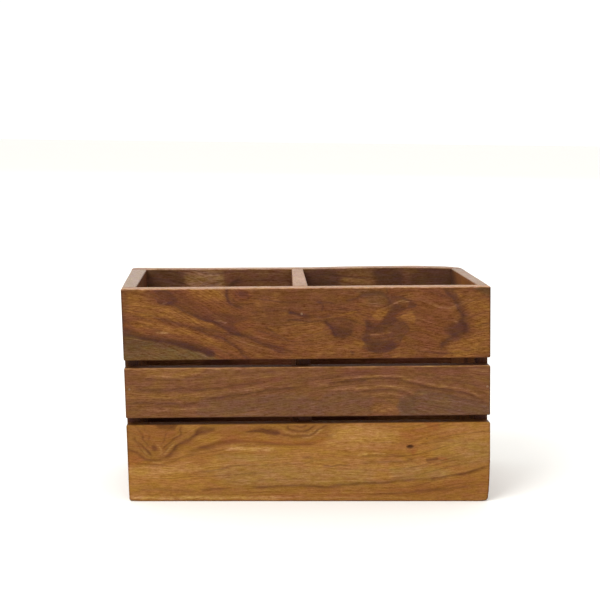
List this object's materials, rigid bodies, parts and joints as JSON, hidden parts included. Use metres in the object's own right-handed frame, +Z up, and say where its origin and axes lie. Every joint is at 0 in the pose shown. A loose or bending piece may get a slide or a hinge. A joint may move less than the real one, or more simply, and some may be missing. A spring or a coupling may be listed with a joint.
{
  "type": "utensil caddy",
  "caption": "Open slatted wooden box with a divider, standing on a table and holding cutlery upright in its compartments.",
  "frame": {"origin": "on the table under the middle of the box", "axes": "+X along the length to the right as seen from the front, +Y from the front wall to the back wall, +Z up"},
  "size_m": [0.203, 0.089, 0.121],
  "materials": {
    "red_brown_wood": "satin",
    "brown_wood": "satin",
    "golden_brown_wood": "satin",
    "end_wood": "satin",
    "brad_steel": "dull"
  },
  "bodies": {
    "root": {"front_top_board": "red_brown_wood", "front_top_brads": "brad_steel", "front_middle_board": "brown_wood", "front_middle_brads": "brad_steel", "front_bottom_board": "golden_brown_wood", "front_bottom_brads": "brad_steel", "back_top_board": "red_brown_wood", "back_top_brads": "brad_steel", "back_middle_board": "brown_wood", "back_middle_brads": "brad_steel", "back_bottom_board": "golden_brown_wood", "back_bottom_brads": "brad_steel", "left_end_panel": "end_wood", "right_end_panel": "end_wood", "left_end_brads": "brad_steel", "right_end_brads": "brad_steel", "centre_divider": "end_wood", "floor_board": "brown_wood"}
  },
  "joints": []
}
